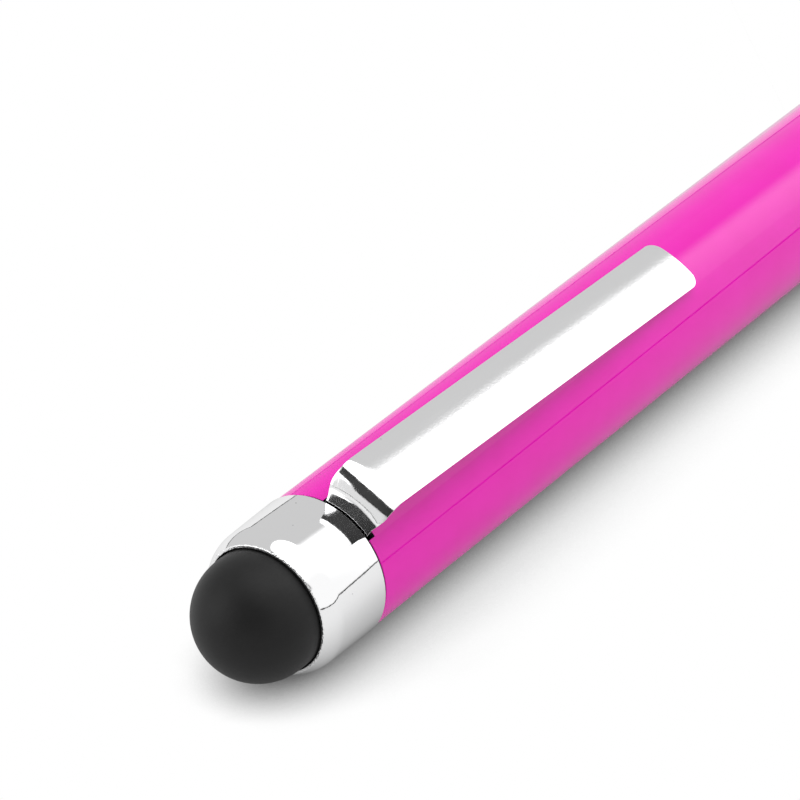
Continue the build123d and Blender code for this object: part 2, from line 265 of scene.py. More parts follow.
# %% Add the soft lamp
LAMP_PLACE = (0.10, 0.35, 0.55)
LAMP_AIM = Vector((-0.03, 0, 0))
LAMP_WIDTH = 0.35
LAMP_POWER = 0.9
bpy.ops.object.select_all(action="DESELECT")
bpy.ops.object.light_add(type="AREA", location=LAMP_PLACE)
lamp = bpy.context.object
lamp.name = "soft_lamp"
lamp.data.shape = "DISK"
lamp.data.size = LAMP_WIDTH
lamp.data.energy = LAMP_POWER
lamp.rotation_euler = (LAMP_AIM - lamp.location).to_track_quat("-Z", "Y").to_euler()
lamp.visible_glossy = False
print("lamp power", lamp.data.energy, "W")

# %% [markdown]
# The table is a sheet of white paper. Lit at a plain level, paper comes out a little grey, and more light
# would wash out the pen. So the camera and the mirrors see the sheet glow as white, and other rays meet
# plain paper. Ambient occlusion dims the glow where the pen stands close, which gives the soft shadow. The
# mirrors see that dimming softer and reaching further, as the collar's underside shows it.

# %% Lay the table
TABLE_SIZE = 6
PAPER_WHITE = (0.80, 0.80, 0.80, 1)
SHADE_REACH = 0.1
SHADE_GAIN = 1.6
SHADE_DROP = 0.1
DEEPEST_SHADE = 0.1
SHEET_IN_MIRRORS = 0.87
bpy.ops.object.select_all(action="DESELECT")
bpy.ops.mesh.primitive_plane_add(size=TABLE_SIZE)
table = bpy.context.object
table.name = "table"
table_white = bpy.data.materials.new("table_white")
table_white.use_nodes = True
tree = table_white.node_tree
tree.nodes.clear()
paper = add_node(tree, "ShaderNodeBsdfDiffuse", Color=PAPER_WHITE)
open_sky = add_node(tree, "ShaderNodeAmbientOcclusion", Distance=SHADE_REACH).outputs["AO"]
shade = math_node(tree, "SUBTRACT", math_node(tree, "MULTIPLY", open_sky, SHADE_GAIN), SHADE_DROP)
shade = math_node(tree, "MINIMUM", math_node(tree, "MAXIMUM", shade, DEEPEST_SHADE), 1.0)
in_mirrors = add_node(tree, "ShaderNodeLightPath").outputs["Is Glossy Ray"]
mirrored = math_node(tree, "MULTIPLY", open_sky, SHEET_IN_MIRRORS)
level = add_node(tree, "ShaderNodeMix", Factor=in_mirrors, A=shade, B=mirrored).outputs[0]
glow = add_node(tree, "ShaderNodeEmission", Strength=level)
both = add_node(tree, "ShaderNodeMixShader", _0=seen_directly(tree), _1=paper.outputs[0], _2=glow.outputs[0])
add_node(tree, "ShaderNodeOutputMaterial", Surface=both.outputs[0])
table.data.materials.append(table_white)
print("table", TABLE_SIZE, "m wide")

# %% [markdown]
# ## Finishes
# Each finish is a small node tree on Object coordinates, so that its grain keeps its real size on every
# piece. It could be painted on a picture, but a noise has no seams and stays sharp however close one comes.
# The noise moves the roughness a little and drives a bump, mostly a few thousandths of a millimetre deep.
# A Mix node has sockets of the same name for each kind of data, so we call its colour sockets by number.

# %% Helpers for finishes
NOISE_LOW = 0.3
NOISE_HIGH = 0.7
MIX_COLOR_A = 6
MIX_COLOR_B = 7
MIX_COLOR_RESULT = 2


def new_finish(name, color, roughness, metallic=0.0):
    """A material with its shader's plain values set, and what is needed to add grain to it."""
    finish = bpy.data.materials.new(name)
    finish.use_nodes = True
    shader = finish.node_tree.nodes["Principled BSDF"]
    shader.inputs["Base Color"].default_value = (*color, 1)
    shader.inputs["Roughness"].default_value = roughness
    shader.inputs["Metallic"].default_value = metallic
    return finish, finish.node_tree, shader


def grain(tree, size, detail=4.0, stretch=(1, 1, 1)):
    """A noise whose blotches are about size millimetres across, drawn out along an axis by stretch."""
    place = add_node(tree, "ShaderNodeTexCoord").outputs["Object"]
    mapping = add_node(tree, "ShaderNodeMapping", Vector=place, Scale=stretch)
    per_metre = 1 / (size * MM)
    noise = add_node(tree, "ShaderNodeTexNoise", Vector=mapping.outputs[0], Scale=per_metre, Detail=detail)
    return noise.outputs["Fac"]


def between(tree, value, low, high):
    """Spread a noise over the range low to high."""
    node = add_node(tree, "ShaderNodeMapRange", Value=value, To_Min=low, To_Max=high)
    node.inputs["From Min"].default_value = NOISE_LOW
    node.inputs["From Max"].default_value = NOISE_HIGH
    return node.outputs["Result"]


def tint(tree, shader, value, first, second):
    """Blend a shader's colour from first to second by a value from zero to one."""
    node = add_node(tree, "ShaderNodeMix", Factor=value)
    node.data_type = "RGBA"
    node.inputs[MIX_COLOR_A].default_value = (*first, 1)
    node.inputs[MIX_COLOR_B].default_value = (*second, 1)
    tree.links.new(node.outputs[MIX_COLOR_RESULT], shader.inputs["Base Color"])


def roughen(tree, shader, value, low, high):
    """Vary a shader's roughness from low to high by a noise."""
    tree.links.new(between(tree, value, low, high), shader.inputs["Roughness"])


def add_bump(tree, shader, value, depth):
    """Bump a shader by a noise, with its depth in millimetres."""
    bump = add_node(tree, "ShaderNodeBump", Height=value, Distance=depth * MM)
    tree.links.new(bump.outputs["Normal"], shader.inputs["Normal"])


print("finish helpers ready")

# %% [markdown]
# The stylus dome is soft silicone rubber with a fine matte skin. One flat black would look like plastic, so
# a fine noise makes the skin, a broad one clouds the black, and a little sheen lifts the edge, as the bloom
# on such rubber does.

# %% Rubber
RUBBER_BLACK = (0.004, 0.004, 0.0042)
RUBBER_DARKER = (0.0035, 0.0035, 0.0037)
RUBBER_PALER = (0.005, 0.005, 0.0052)
RUBBER_CLOUD = 0.9
RUBBER_SKIN = 0.05
RUBBER_SKIN_DEPTH = 0.006
RUBBER_ROUGHNESS = 0.53
RUBBER_SPREAD = 0.05
rubber, tree, shader = new_finish("black_rubber", RUBBER_BLACK, RUBBER_ROUGHNESS)
cloud = between(tree, grain(tree, RUBBER_CLOUD), 0, 1)
tint(tree, shader, cloud, RUBBER_DARKER, RUBBER_PALER)
skin = grain(tree, RUBBER_SKIN, detail=6)
roughen(tree, shader, skin, RUBBER_ROUGHNESS - RUBBER_SPREAD, RUBBER_ROUGHNESS + RUBBER_SPREAD)
shader.inputs["Specular IOR Level"].default_value = 0.30
shader.inputs["Sheen Weight"].default_value = 0.04
shader.inputs["Sheen Roughness"].default_value = 0.5
add_bump(tree, shader, skin, RUBBER_SKIN_DEPTH)
print("rubber ready")

# %% [markdown]
# The chrome is a bright plate over metal and nearly a mirror. A perfect mirror looks false, so long shallow
# waves and a fine ripple make reflected lines tremble, tiny pits show as specks, and polishing lines along
# the pen vary the roughness. Turned pieces get the bright chrome. The clip is pressed from sheet, which
# leaves it a little duller, and the collar's rim is worn and speckled.

# %% Chrome
CHROME_WHITE = (0.96, 0.96, 0.965)
PIT_GREY = (0.25, 0.25, 0.26)
PIT_SIZE = 0.22
PIT_EDGE = (0.80, 0.84)
POLISH_SIZE = 0.35
POLISH_STRETCH = (0.08, 1, 1)
POLISH_SHARES = (0.7, 1.4)
WAVE_SIZE = 1.1
WAVE_DEPTH = 0.0020


def plated(name, roughness, ripple_size, ripple_depth):
    """Chrome plate with long shallow waves, and a fine ripple of a given size and depth in millimetres."""
    finish, tree, shader = new_finish(name, CHROME_WHITE, roughness, metallic=1.0)
    pits = soft_step(tree, grain(tree, PIT_SIZE, detail=1), *PIT_EDGE)
    tint(tree, shader, pits, CHROME_WHITE, PIT_GREY)
    polish = grain(tree, POLISH_SIZE, detail=5, stretch=POLISH_STRETCH)
    roughen(tree, shader, polish, *(share * roughness for share in POLISH_SHARES))
    ripple = math_node(tree, "MULTIPLY", grain(tree, ripple_size, detail=2), ripple_depth / WAVE_DEPTH)
    add_bump(tree, shader, math_node(tree, "ADD", grain(tree, WAVE_SIZE, detail=2), ripple), WAVE_DEPTH)
    return finish


chrome = plated("bright_chrome", roughness=0.05, ripple_size=0.22, ripple_depth=0.0011)
pressed_chrome = plated("pressed_chrome", roughness=0.10, ripple_size=0.20, ripple_depth=0.004)
worn_chrome = plated("worn_chrome", roughness=0.10, ripple_size=0.15, ripple_depth=0.05)
print("chrome ready")

# %% [markdown]
# The barrels are metal tubes with hot pink lacquer under a clear coat. One shader holds both layers: the
# colour coat is smooth and a little soft in its shine, and the clear coat gives the sharp reflections. A
# very shallow orange peel, as sprayed lacquer has, bends them slightly.

# %% Pink lacquer
LACQUER_PINK = (0.80, 0.003, 0.45)
LACQUER_DEEP = (0.77, 0.002, 0.42)
LACQUER_CLOUD = 2.5
LACQUER_GRAIN = 0.12
LACQUER_ROUGHNESS = 0.38
LACQUER_SPREAD = 0.04
PEEL_SIZE = 1.2
PEEL_DEPTH = 0.0005
lacquer, tree, shader = new_finish("pink_lacquer", LACQUER_PINK, LACQUER_ROUGHNESS)
cloud = between(tree, grain(tree, LACQUER_CLOUD, detail=3), 0, 1)
tint(tree, shader, cloud, LACQUER_PINK, LACQUER_DEEP)
fine = grain(tree, LACQUER_GRAIN)
roughen(tree, shader, fine, LACQUER_ROUGHNESS - LACQUER_SPREAD, LACQUER_ROUGHNESS + LACQUER_SPREAD)
shader.inputs["Specular IOR Level"].default_value = 0.0
shader.inputs["Coat Weight"].default_value = 1.0
shader.inputs["Coat Roughness"].default_value = 0.04
add_bump(tree, shader, grain(tree, PEEL_SIZE, detail=1), PEEL_DEPTH)
print("lacquer ready")

# %% [markdown]
# The inside of the pen shows only when it is taken apart or drawn open, but a maker who picks a piece
# should still find the right stuff: moulded black plastic, white acetal, drawn steel, turned brass, milky
# refill tube, ink and nickel silver. Two functions make them all, because these finishes differ only in
# colour, shine, size of grain and the way that their lines run.

# %% Kinds of inner finish
CLOUD_SIZE = 1.5
CLOUD_SHARE = 0.82
SKIN_SPREAD = 0.06
SKIN_DEPTH = 0.004
LINE_SIZE = 0.12
LINE_SHARE = 0.75
LINE_SPREAD = 0.07
LINE_DEPTH = 0.003
ROUND_THE_PEN = (1, 0.05, 0.05)
ALONG_THE_PEN = (0.05, 1, 1)


def moulded(name, color, roughness, grain_size):
    """A moulded plastic with a fine skin and a slight drift of colour."""
    finish, tree, shader = new_finish(name, color, roughness)
    darker = tuple(CLOUD_SHARE * part for part in color)
    tint(tree, shader, between(tree, grain(tree, CLOUD_SIZE), 0, 1), color, darker)
    skin = grain(tree, grain_size, detail=6)
    roughen(tree, shader, skin, roughness - SKIN_SPREAD, roughness + SKIN_SPREAD)
    add_bump(tree, shader, skin, SKIN_DEPTH)
    return finish


def drawn_metal(name, color, roughness, stretch):
    """A metal with lines left by drawing or turning, along or round the pen."""
    finish, tree, shader = new_finish(name, color, roughness, metallic=1.0)
    darker = tuple(LINE_SHARE * part for part in color)
    lines = grain(tree, LINE_SIZE, detail=5, stretch=stretch)
    tint(tree, shader, between(tree, lines, 0, 1), color, darker)
    roughen(tree, shader, lines, roughness - LINE_SPREAD, roughness + LINE_SPREAD)
    add_bump(tree, shader, lines, LINE_DEPTH)
    return finish


print("inner finishes ready")

# %% [markdown]
# The inner pieces keep their CAD shapes, so only their finish is set here. They could each have a finish of
# their own, but pieces of one stuff share it, as the guide tube and the slider share the cam's white acetal.

# %% Finish the inner pieces
inner_finishes = {
    "end_plug": moulded("black_plastic", (0.022, 0.022, 0.024), 0.5, 0.08),
    "cam_sleeve": moulded("white_acetal", (0.72, 0.72, 0.70), 0.42, 0.10),
    "snap_ring": drawn_metal("drawn_steel", (0.56, 0.56, 0.57), 0.28, ALONG_THE_PEN),
    "thread_bush": drawn_metal("turned_brass", (0.76, 0.54, 0.22), 0.26, ROUND_THE_PEN),
    "refill_tube": moulded("milky_plastic", (0.74, 0.75, 0.77), 0.30, 0.15),
    "ink_column": moulded("blue_ink", (0.012, 0.016, 0.11), 0.25, 0.30),
    "writing_ball": drawn_metal("point_metal", (0.62, 0.60, 0.55), 0.24, ROUND_THE_PEN),
}
same_finish = {
    "guide_tube": "cam_sleeve",
    "slider": "cam_sleeve",
    "drive_pin": "snap_ring",
    "refill_plug": "end_plug",
    "point_holder": "thread_bush",
}
for node, like in same_finish.items():
    inner_finishes[node] = inner_finishes[like]
for node, finish in inner_finishes.items():
    cad_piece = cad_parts[node]
    cad_piece.data.materials.clear()
    cad_piece.data.materials.append(finish)
print("inner pieces finished:", len(inner_finishes))

# %% [markdown]
# ## Turned pieces
# Most of a pen is turned on a lathe. It could be put together from cylinders and cones, but their seams
# would show in the chrome. So we work as a turner does: half of the section is drawn as a line of points,
# from a plane that is merged to its middle and then extruded from corner to corner. Corners that a tool
# would break are bevelled while they are still points, and one spin carries the line round the axis. This
# gives clean rings of faces, which reflect evenly.

# %% Helpers for drawing a section
CLOSE = 0.000001
CORNER_SEGMENTS = 4


def edit(piece):
    """Make a piece the only selected one and go into edit mode."""
    if bpy.context.object and bpy.context.object.mode == "EDIT":
        bpy.ops.object.mode_set(mode="OBJECT")
    bpy.ops.object.select_all(action="DESELECT")
    piece.select_set(True)
    bpy.context.view_layer.objects.active = piece
    bpy.ops.object.mode_set(mode="EDIT")


def draw_line(name, points):
    """Draw a line through points, each a length along the pen and a radius in millimetres."""
    bpy.ops.object.select_all(action="DESELECT")
    bpy.ops.mesh.primitive_plane_add(size=MM)
    piece = bpy.context.object
    piece.name = name
    edit(piece)
    bpy.ops.mesh.merge(type="CENTER")
    place, radius = points[0]
    bpy.ops.transform.translate(value=(JOINT + place * MM, 0, AXIS_HEIGHT + radius * MM))
    for (place, radius), (next_place, next_radius) in zip(points, points[1:]):
        step = ((next_place - place) * MM, 0, (next_radius - radius) * MM)
        bpy.ops.mesh.extrude_region_move(TRANSFORM_OT_translate={"value": step})
    bpy.ops.object.mode_set(mode="OBJECT")
    return piece


def select_points(piece, chosen):
    """Select the points that a test picks, and go into edit mode."""
    edit(piece)
    bpy.ops.mesh.select_mode(type="VERT")
    bpy.ops.mesh.select_all(action="DESELECT")
    bpy.ops.object.mode_set(mode="OBJECT")
    for point in piece.data.vertices:
        point.select = chosen(point)
    bpy.ops.object.mode_set(mode="EDIT")


def break_corner(piece, place, radius, size):
    """Round off one corner of a drawn line."""
    corner = Vector((JOINT + place * MM, 0, AXIS_HEIGHT + radius * MM))
    select_points(piece, lambda point: (point.co - corner).length < CLOSE)
    bpy.ops.mesh.bevel(affect="VERTICES", offset=size * MM, segments=CORNER_SEGMENTS, profile=0.5)
    bpy.ops.object.mode_set(mode="OBJECT")


print("drawing helpers ready")

# %% [markdown]
# A drawn line is spun and cleaned, and shaded smooth by angle, which keeps curves soft and corners crisp. A
# Screw modifier could turn it as well, but the spin leaves a plain mesh at once. Then the piece is dressed:
# it gets its finish, stands for its CAD piece, and rides on that piece's body, so that it moves with it.

# %% Helpers for turning and dressing a piece
SPIN_STEPS = 192
SMOOTH_ANGLE = radians(32)


def finish_mesh(piece):
    """Merge doubles, point the faces outwards and shade smooth up to an angle."""
    edit(piece)
    bpy.ops.mesh.select_all(action="SELECT")
    bpy.ops.mesh.remove_doubles(threshold=CLOSE)
    bpy.ops.mesh.normals_make_consistent(inside=False)
    bpy.ops.object.mode_set(mode="OBJECT")
    bpy.ops.object.shade_smooth_by_angle(angle=SMOOTH_ANGLE)
    print(piece.name, "faces:", len(piece.data.polygons))


def spin_round(piece):
    """Join the line's ends, carry it round the axis and leave a clean closed skin."""
    edit(piece)
    bpy.ops.mesh.select_all(action="SELECT")
    bpy.ops.mesh.remove_doubles(threshold=CLOSE)
    bpy.ops.mesh.spin(steps=SPIN_STEPS, angle=2 * pi, center=(0, 0, AXIS_HEIGHT), axis=(1, 0, 0))
    finish_mesh(piece)


def dress(piece, node, body, finish):
    """Give a piece its finish, let it stand for its CAD piece and ride on that piece's body."""
    piece.data.materials.clear()
    piece.data.materials.append(finish)
    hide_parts(node)
    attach(piece, body)


def dress_faces(piece, finish, chosen):
    """Give the faces that a test picks a second finish."""
    piece.data.materials.append(finish)
    for face in piece.data.polygons:
        if chosen(face):
            face.material_index = 1


print("lathe helpers ready")

# %% [markdown]
# The stylus tip is a hollow rubber cap: a half sphere on a short straight skirt. Half of a sphere primitive
# would be quicker, but the cap has a wall and a lip, so it is turned too. Its inside shows nowhere, and we
# still draw it, so that the piece is a true cap. The half sphere's points lie on a quarter circle.

# %% Stylus tip
DOME_STEPS = 40
TIP_WALL = 0.9
TIP_ROOF = 1.2
LIP_HEIGHT = 1.5
LIP_RADIUS = 1.62
tip_apex, tip_base = ends("stylus_tip")
tip_radius = outer_radius("stylus_tip")
tip_middle = tip_apex + tip_radius
dome_points = []
for i in range(DOME_STEPS + 1):
    angle = i / DOME_STEPS * pi / 2
    dome_points.append((tip_middle - tip_radius * cos(angle), tip_radius * sin(angle)))
tip_line = dome_points + [
    (tip_base, tip_radius),
    (tip_base, LIP_RADIUS),
    (tip_base - LIP_HEIGHT, LIP_RADIUS),
    (tip_base - LIP_HEIGHT, tip_radius - TIP_WALL),
    (tip_middle - TIP_ROOF, tip_radius - TIP_WALL),
    (tip_middle - TIP_ROOF, 0),
]
dome = draw_line("stylus_dome", tip_line)
spin_round(dome)
dress(dome, "stylus_tip", "upper", rubber)

# %% [markdown]
# The chrome collar is nearly straight and then rounds in to a thin bright rim around the dome. The curve
# starts gently and closes ever faster, so we step along it with a parabola. Its rim and its edge at the
# barrel are broken a little, which gives them their thin bright lines. The rim is knocked and rubbed in use,
# so its faces get the worn chrome.

# %% End collar
COLLAR_STEPS = 24
SHOULDER = (-4.0, 4.77)
RIM_RADIUS = 4.29
COLLAR_LEAN = 0.06
COLLAR_BORE = 4.10
RIM_EDGE = 0.035
RIM_BORE_EDGE = 0.05
COLLAR_JOINT_EDGE = 0.015
RIM_WEAR = 0.06
collar_rim = ends("end_collar")[0]
collar_radius = outer_radius("end_collar")


def closing_in(start, end, lean, steps):
    """Points of a line that leaves start with a slight lean and closes in on end ever faster."""
    points = []
    for i in range(steps + 1):
        share = i / steps
        fall = lean * share + (1 - lean) * share**2
        points.append((start[0] + (end[0] - start[0]) * share, start[1] + (end[1] - start[1]) * fall))
    return points


collar_line = [(0, COLLAR_BORE), (0, collar_radius)]
collar_line += closing_in(SHOULDER, (collar_rim, RIM_RADIUS), COLLAR_LEAN, COLLAR_STEPS)
collar_line += [(collar_rim, COLLAR_BORE), (0, COLLAR_BORE)]
collar = draw_line("chrome_collar", collar_line)
break_corner(collar, collar_rim, RIM_RADIUS, RIM_EDGE)
break_corner(collar, collar_rim, COLLAR_BORE, RIM_BORE_EDGE)
break_corner(collar, 0, collar_radius, COLLAR_JOINT_EDGE)
spin_round(collar)
dress(collar, "end_collar", "upper", chrome)
dress_faces(collar, worn_chrome, lambda face: along(face.center.x) < collar_rim + RIM_WEAR)

# %% [markdown]
# The upper barrel is a plain tube with soft edges that stops a fifth of a millimetre before the collar, so
# that a fine line parts them. A cylinder primitive with a Solidify modifier would give a tube too, but the
# ring and the lower barrel are tubes as well, so one function turns all three.

# %% Turn the upper barrel
BARREL_BORE = 4.20
BARREL_EDGE = 0.05
JOINT_GAP = 0.22


def tube(name, start, end, radius, bore, edge):
    """A plain tube whose outer edges are broken."""
    line = [(start, bore), (start, radius), (end, radius), (end, bore)]
    piece = draw_line(name, [*line, line[0]])
    break_corner(piece, start, radius, edge)
    break_corner(piece, end, radius, edge)
    spin_round(piece)
    return piece


barrel_end = ends("upper_barrel")[1]
upper_barrel = tube("upper_barrel_skin", JOINT_GAP, barrel_end, BARREL_RADIUS, BARREL_BORE, BARREL_EDGE)

# %% [markdown]
# The clip's tail goes into a notch in the barrel's end. A notch could be cut by hand, face by face, but a
# Boolean modifier with a box that leans with the clip does it in one clean step. The faces inside the notch
# and the tube's mouth are painted black with the plug's finish. This is painted shade: in the narrow gap
# they lie in deep shade, and the black makes the joint read as a fine dark line.

# %% Cut the notch for the clip
NOTCH_WIDTH = 3.7
NOTCH_DEPTH = 0.78


def lean_with_clip(piece):
    """Turn all of a piece's mesh about the pen's axis to the clip's lean."""
    edit(piece)
    bpy.ops.mesh.select_all(action="SELECT")
    bpy.ops.transform.rotate(value=-CLIP_LEAN, orient_axis="X", center_override=(0, 0, AXIS_HEIGHT))
    bpy.ops.object.mode_set(mode="OBJECT")


def in_painted_shade(face):
    """Whether a face lies in the notch or in the tube's mouth, below its broken edge, where shade is
    painted.
    """
    radius = hypot(face.center.y, face.center.z - AXIS_HEIGHT)
    below_edge = radius < (BARREL_RADIUS - BARREL_EDGE) * MM - CLOSE
    return below_edge and along(face.center.x) < NOTCH_DEPTH + BARREL_EDGE


bpy.ops.object.select_all(action="DESELECT")
bpy.ops.mesh.primitive_cube_add(size=MM)
cutter = bpy.context.object
edit(cutter)
bpy.ops.mesh.select_all(action="SELECT")
bpy.ops.transform.resize(value=(2 * NOTCH_DEPTH, NOTCH_WIDTH, BARREL_RADIUS))
bpy.ops.transform.translate(value=(JOINT, 0, AXIS_HEIGHT + BARREL_RADIUS * MM))
bpy.ops.object.mode_set(mode="OBJECT")
lean_with_clip(cutter)
edit(upper_barrel)
bpy.ops.object.mode_set(mode="OBJECT")
bpy.ops.object.modifier_add(type="BOOLEAN")
notch = upper_barrel.modifiers[-1]
notch.operation = "DIFFERENCE"
notch.object = cutter
bpy.ops.object.modifier_apply(modifier=notch.name)
bpy.data.objects.remove(cutter)
finish_mesh(upper_barrel)
dress(upper_barrel, "upper_barrel", "upper", lacquer)
# These faces get the plug's black as painted shade in the joint.
dress_faces(upper_barrel, inner_finishes["end_plug"], in_painted_shade)

# %% [markdown]
# ## The pocket clip
# The real clip is a strip of spring steel: cut to shape, pressed to a slight arch, bent at its root and
# plated. It could be carved from a block, but then the bend would never be even. So we make it as the press
# does, and first work out the strip: seen from the side it runs straight from its free end to the bend, and
# straight again down into the notch. Rows are measured along the strip from its free end, in millimetres.

# %% Measure the strip
CLIP_REACH = 35.8
CLIP_THICKNESS = 0.4
TIP_GAP = 0.05
FRONT = 0.1
BEND_RISE = 2.74
BEND_RADIUS = 1.65
TAIL_DEPTH = 2.1
clip_tip = (CLIP_REACH, BARREL_RADIUS + TIP_GAP + CLIP_THICKNESS)
clip_bend = (FRONT, BARREL_RADIUS + BEND_RISE)
clip_foot = (FRONT, BARREL_RADIUS - TAIL_DEPTH)


def run(start, end):
    """Length and heading of a straight run of the clip, seen from the side."""
    reach, rise = end[0] - start[0], end[1] - start[1]
    return hypot(reach, rise), atan2(rise, reach)


arm_length, arm_heading = run(clip_tip, clip_bend)
tail_length, tail_heading = run(clip_bend, clip_foot)
bend_angle = tail_heading + 2 * pi - arm_heading
bend_cut = BEND_RADIUS * tan(bend_angle / 2)
arm_straight = arm_length - bend_cut
bend_end = arm_straight + BEND_RADIUS * bend_angle
strip_end = bend_end + tail_length - bend_cut
print("strip", round(strip_end, 2), "mm long, bent by", round(degrees(bend_angle)), "degrees")

# %% [markdown]
# Rows of points cross the strip. Even steps would be simpler, but they would be too coarse for the rounded
# corners and the bend, or far too many for the straight arm. So the rows lie close together where the strip
# is curved, and wide apart where it is straight.

# %% Divide the strip into rows
CORNER_RADIUS = 0.8
CORNER_ROWS = 10
BEND_ROWS = 18
ARM_SHARES = (0.1, 0.25, 0.4, 0.55, 0.7, 0.85, 0.95)
BEFORE_BEND = (0.9, 0.75, 0.6, 0.45, 0.3, 0.15)
AFTER_BEND = (0.1, 0.2, 0.5, 0.9)
bend_rows = [arm_straight + (i + 0.5) / BEND_ROWS * BEND_RADIUS * bend_angle for i in range(BEND_ROWS)]
rows = [CORNER_RADIUS * (1 - cos(i / CORNER_ROWS * pi / 2)) for i in range(CORNER_ROWS + 1)]
rows += [arm_straight * share for share in ARM_SHARES]
rows += [arm_straight - step for step in BEFORE_BEND]
rows += bend_rows
rows += [bend_end + step for step in AFTER_BEND]
rows += [strip_end]
rows.sort()
print("rows in the strip:", len(rows))

# %% [markdown]
# A grid is the free end of the strip, and the rows are extruded from it one after the other. Then each row
# is scaled across, which rounds the corners and narrows the tail, and its sides are lowered, which arches
# the strip. Proportional editing could arch it too, but a formula is even all along. The arch is a little
# less at the bend and gone beyond it, because the tail goes flat into its notch.

# %% Cut and arch the strip
CLIP_HALF = 2.05
ROOT_HALF = 1.65
NECK_REACH = 0.9
CLIP_CROWN = 0.27
BEND_CROWN = 0.2
SINK_FADE = (arm_straight - 0.1, arm_straight + 0.6)
FLAT_FADE = (bend_end - 0.85, bend_end + 0.2)
ACROSS = 20


def eased(row, start, end):
    """Zero before start, one after end, and a smooth rise between them."""
    share = min(max((row - start) / (end - start), 0), 1)
    return share**2 * (3 - 2 * share)


def half_width(row):
    """Half of the strip's width at a row."""
    if row < CORNER_RADIUS:
        return CLIP_HALF - CORNER_RADIUS + (CORNER_RADIUS**2 - (CORNER_RADIUS - row)**2)**0.5
    return CLIP_HALF + (ROOT_HALF - CLIP_HALF) * eased(row, bend_end - NECK_REACH, bend_end + NECK_REACH)


def sink(row):
    """How far the strip's middle lies below the arm's middle at a row."""
    return (CLIP_CROWN - BEND_CROWN) * eased(row, *SINK_FADE)


def crown(row):
    """How far the strip's sides lie below its middle at a row."""
    return (CLIP_CROWN - sink(row)) * (1 - eased(row, *FLAT_FADE))


bpy.ops.object.select_all(action="DESELECT")
bpy.ops.mesh.primitive_grid_add(x_subdivisions=1, y_subdivisions=ACROSS, size=MM)
clip = bpy.context.object
clip.name = "spring_clip"
edit(clip)
bpy.ops.mesh.select_all(action="SELECT")
bpy.ops.transform.resize(value=(rows[1], 1, 1))
bpy.ops.transform.translate(value=(-rows[1] / 2 * MM, 0, 0))
bpy.ops.object.mode_set(mode="OBJECT")
for row, next_row in zip(rows[1:], rows[2:]):
    select_points(clip, lambda point: abs(point.co.x + row * MM) < CLOSE)
    bpy.ops.mesh.extrude_region_move(TRANSFORM_OT_translate={"value": ((row - next_row) * MM, 0, 0)})
    bpy.ops.object.mode_set(mode="OBJECT")
for point in clip.data.vertices:
    row = -point.co.x / MM
    point.co.y *= 2 * half_width(row)
    point.co.z = -(sink(row) + crown(row) * (point.co.y / (CLIP_HALF * MM))**2) * MM
print("points in the strip:", len(clip.data.vertices))

# %% [markdown]
# Each bend row turns all that lies beyond it by a small angle about that row, as a folding machine does. A
# Simple Deform modifier could bend the strip at once, but it takes its limits as shares of the whole length,
# and here the bend starts and ends at given rows.

# %% Bend the strip
flat_places = [-point.co.x / MM for point in clip.data.vertices]


def fold(row, angle):
    """Turn the strip beyond a row about the row's middle."""
    middle = min(clip.data.vertices, key=lambda point: (
        abs(flat_places[point.index] - row), abs(point.co.y)))
    pivot = middle.co.copy()
    select_points(clip, lambda point: flat_places[point.index] > row + CLOSE)
    bpy.ops.transform.rotate(value=angle, orient_axis="Y", center_override=pivot)
    bpy.ops.object.mode_set(mode="OBJECT")


for row in bend_rows:
    fold(row, bend_angle / BEND_ROWS)
print("folds:", len(bend_rows))

# %% [markdown]
# The bent sheet is turned to the arm's slope, moved to its place and leaned. Only now does Solidify give it
# its thickness, inwards, so that the outer face keeps its shape, and a Bevel breaks the sharp edges, as
# plating and polishing leave them.

# %% Place the strip and give it thickness
CLIP_EDGE = 0.07
CLIP_EDGE_SEGMENTS = 3
SHARP = radians(50)
edit(clip)
bpy.ops.mesh.select_all(action="SELECT")
bpy.ops.transform.rotate(value=arm_heading - pi, orient_axis="Y", center_override=(0, 0, 0))
bpy.ops.transform.translate(value=(JOINT + clip_tip[0] * MM, 0, AXIS_HEIGHT + clip_tip[1] * MM))
bpy.ops.object.mode_set(mode="OBJECT")
lean_with_clip(clip)
bpy.ops.object.modifier_add(type="SOLIDIFY")
wall = clip.modifiers[-1]
wall.thickness = CLIP_THICKNESS * MM
wall.offset = -1
wall.use_even_offset = True
bpy.ops.object.modifier_apply(modifier=wall.name)
bpy.ops.object.modifier_add(type="BEVEL")
edges = clip.modifiers[-1]
edges.width = CLIP_EDGE * MM
edges.segments = CLIP_EDGE_SEGMENTS
edges.limit_method = "ANGLE"
edges.angle_limit = SHARP
bpy.ops.object.modifier_apply(modifier=edges.name)
finish_mesh(clip)
dress(clip, "pocket_clip", "clip", pressed_chrome)

# %% [markdown]
# ## The writing half
# The ring between the halves and the lower barrel are turned pieces again. The ring has the larger broken
# edges of a piece that is meant to shine, and the lower barrel stops a hair's breadth before the nose, so
# that a fine line parts them.

# %% Centre ring and lower barrel
RING_BORE = 3.5
RING_EDGE = 0.12
NOSE_GAP = 0.08
ring_start, ring_end = ends("centre_ring")
ring_radius = outer_radius("centre_ring")
ring = tube("chrome_ring", ring_start, ring_end, ring_radius, RING_BORE, RING_EDGE)
dress(ring, "centre_ring", "lower", chrome)

lower_start, lower_end = ends("lower_barrel")
skin_end = lower_end - NOSE_GAP
lower_barrel = tube("lower_barrel_skin", lower_start, skin_end, BARREL_RADIUS, BARREL_BORE, BARREL_EDGE)
dress(lower_barrel, "lower_barrel", "lower", lacquer)

# %% [markdown]
# The nose is a bullet with a small hole. Its curve is the collar's, with more lean, so one function draws
# both. We draw its inside too, with the seat of the spring and the spigot that sits in the barrel, because
# one can look in at the hole.

